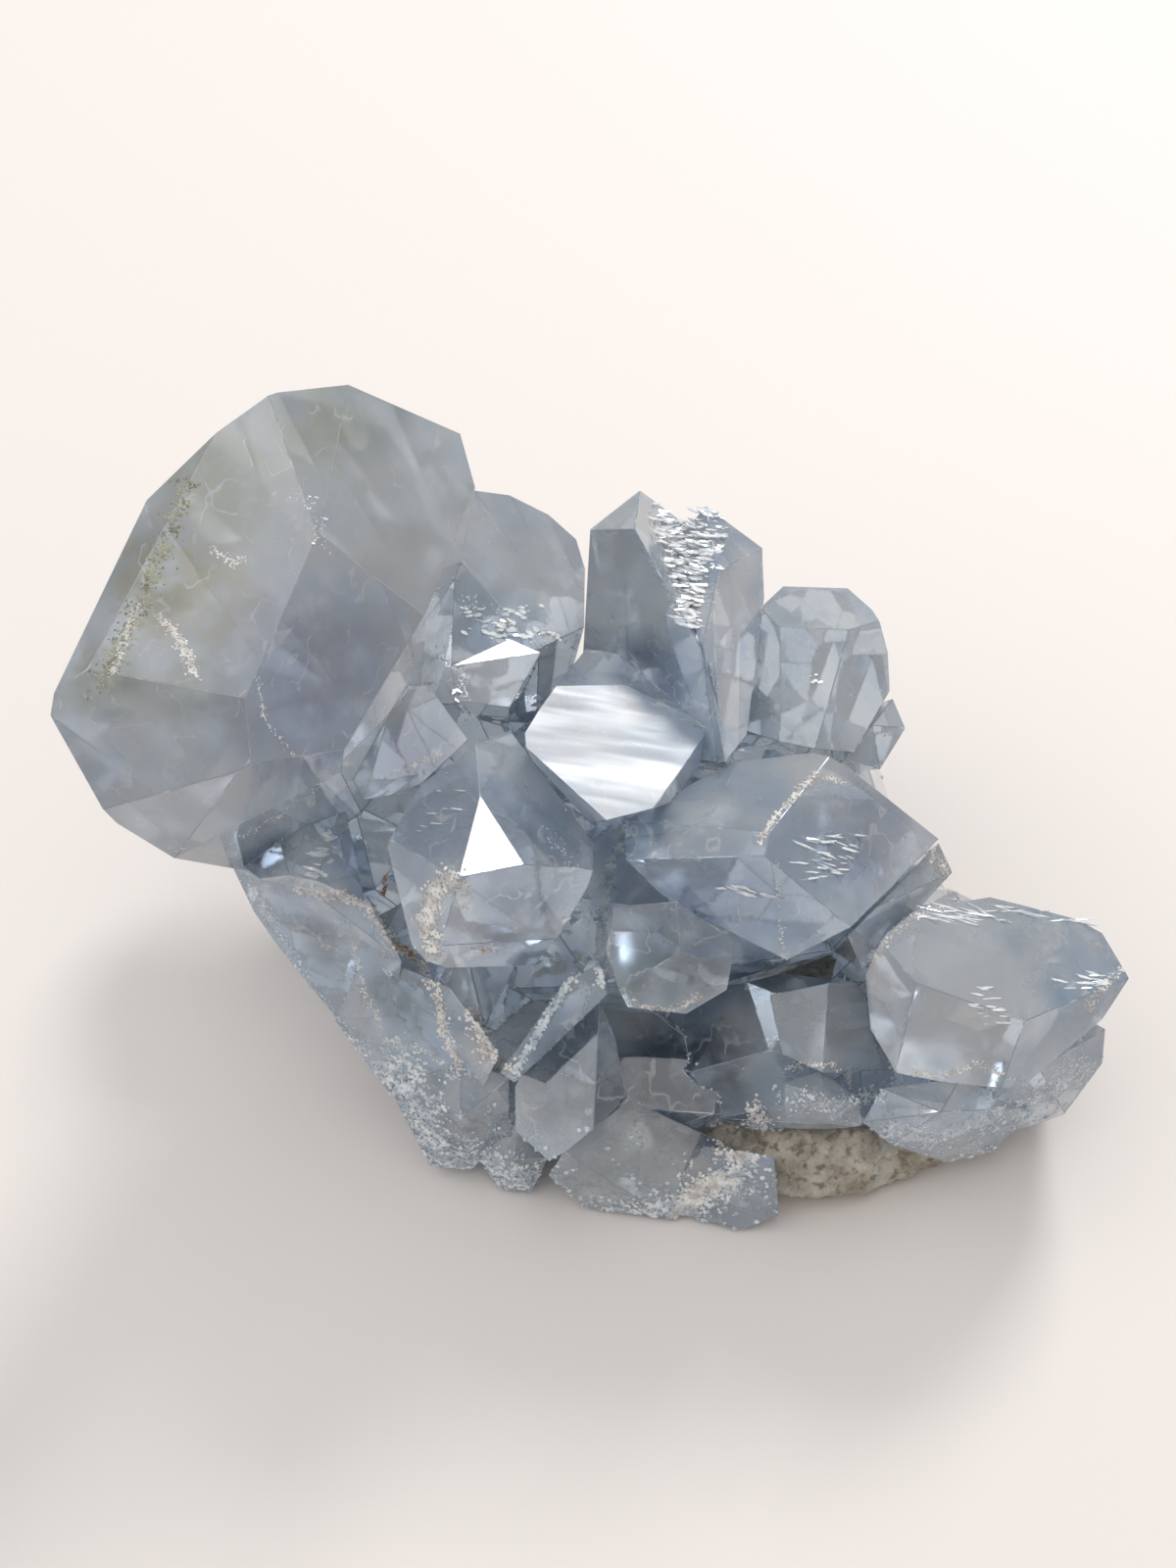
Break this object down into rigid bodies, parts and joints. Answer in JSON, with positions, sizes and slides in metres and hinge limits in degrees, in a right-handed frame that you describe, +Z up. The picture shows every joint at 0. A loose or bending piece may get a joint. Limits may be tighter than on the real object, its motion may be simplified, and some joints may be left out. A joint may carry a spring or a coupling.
{
  "type": "celestite cluster",
  "caption": "Free-standing mineral specimen: intergrown translucent pale blue celestite crystals on a rough base with a sandy rock foot.",
  "frame": {"origin": "middle of the bounding box at ground level", "axes": "+Z up, +X to the right as the specimen is shown, along its length, +Y to the back"},
  "size_m": [0.1044, 0.069, 0.0745],
  "materials": {
    "celestite": "Translucent pale blue celestite, glassy faces, milky and stained inside.",
    "sandy_rock": "Buff, sandy, rough wall rock."
  },
  "bodies": {
    "root": {"crystals": "celestite", "matrix": "sandy_rock"}
  },
  "joints": []
}
